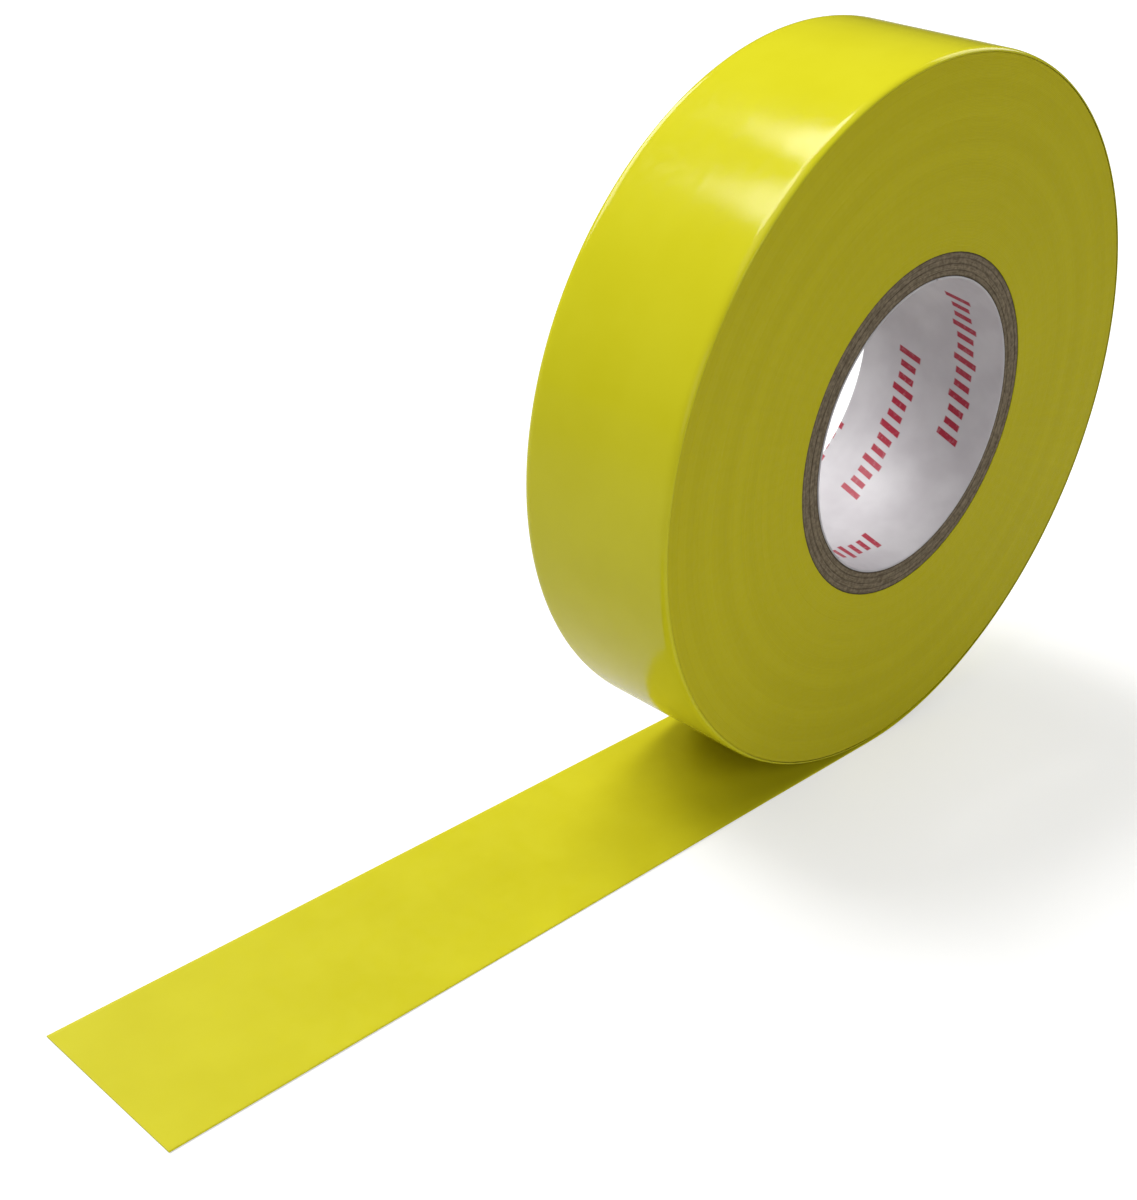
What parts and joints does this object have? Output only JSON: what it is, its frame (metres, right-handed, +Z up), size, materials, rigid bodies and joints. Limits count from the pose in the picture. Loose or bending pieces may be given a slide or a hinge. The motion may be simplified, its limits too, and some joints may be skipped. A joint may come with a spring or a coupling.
{
  "type": "electrical tape roll",
  "caption": "Roll of glossy yellow PVC insulating tape on a paperboard core with a printed liner, standing on its edge with a short flat tail drawn out.",
  "frame": {"origin": "centre of the core's bore, half way across the tape's width", "axes": "+Y along the bore, +Z up with the roll standing on its edge, and the drawn-out tail towards -X"},
  "size_m": [0.1358, 0.019, 0.0788],
  "materials": {
    "tape_film": "gloss",
    "tape_adhesive": "satin",
    "core_board": "matte",
    "liner_paper": "satin"
  },
  "bodies": {
    "paid_out_strip": {"outer_turn": "tape_film", "strip_film": "tape_film", "strip_adhesive": "tape_adhesive"},
    "roll": {"wound_tape": "tape_film", "core_ply_1": "core_board", "core_ply_2": "core_board", "core_ply_3": "core_board", "core_ply_4": "core_board", "bore_liner": "liner_paper"},
    "tail_1": {"tail_film_1": "tape_film", "tail_adhesive_1": "tape_adhesive"},
    "tail_2": {"tail_film_2": "tape_film", "tail_adhesive_2": "tape_adhesive"},
    "tail_3": {"tail_film_3": "tape_film", "tail_adhesive_3": "tape_adhesive"},
    "tail_4": {"tail_film_4": "tape_film", "tail_adhesive_4": "tape_adhesive"},
    "tail_5": {"tail_film_5": "tape_film", "tail_adhesive_5": "tape_adhesive"},
    "tail_6": {"tail_film_6": "tape_film", "tail_adhesive_6": "tape_adhesive"}
  },
  "joints": [
    {"name": "roll_spin", "type": "hinge", "parent": "paid_out_strip", "child": "roll", "pos_m": [0, 0, 0], "axis": [0, 1, 0], "range_deg": [0, 360]},
    {"name": "tail_feed", "type": "slide", "parent": "paid_out_strip", "child": "tail_1", "axis": [-1, 0, 0], "range_m": [0, 0.248], "deforming": ["strip_film", "strip_adhesive"]},
    {"name": "tail_bend_2", "type": "hinge", "parent": "tail_1", "child": "tail_2", "pos_m": [-0.0344, 0, -0.0394], "axis": [0, 1, 0], "range_deg": [0, 45]},
    {"name": "tail_bend_3", "type": "hinge", "parent": "tail_2", "child": "tail_3", "pos_m": [-0.0468, 0, -0.0394], "axis": [0, 1, 0], "range_deg": [0, 45]},
    {"name": "tail_bend_4", "type": "hinge", "parent": "tail_3", "child": "tail_4", "pos_m": [-0.0592, 0, -0.0394], "axis": [0, 1, 0], "range_deg": [0, 45]},
    {"name": "tail_bend_5", "type": "hinge", "parent": "tail_4", "child": "tail_5", "pos_m": [-0.0716, 0, -0.0394], "axis": [0, 1, 0], "range_deg": [0, 45]},
    {"name": "tail_bend_6", "type": "hinge", "parent": "tail_5", "child": "tail_6", "pos_m": [-0.084, 0, -0.0394], "axis": [0, 1, 0], "range_deg": [0, 45]}
  ],
  "couplings": [
    {"joint": "tail_feed", "follows": "roll_spin", "m_per_rad": 0.039325}
  ]
}
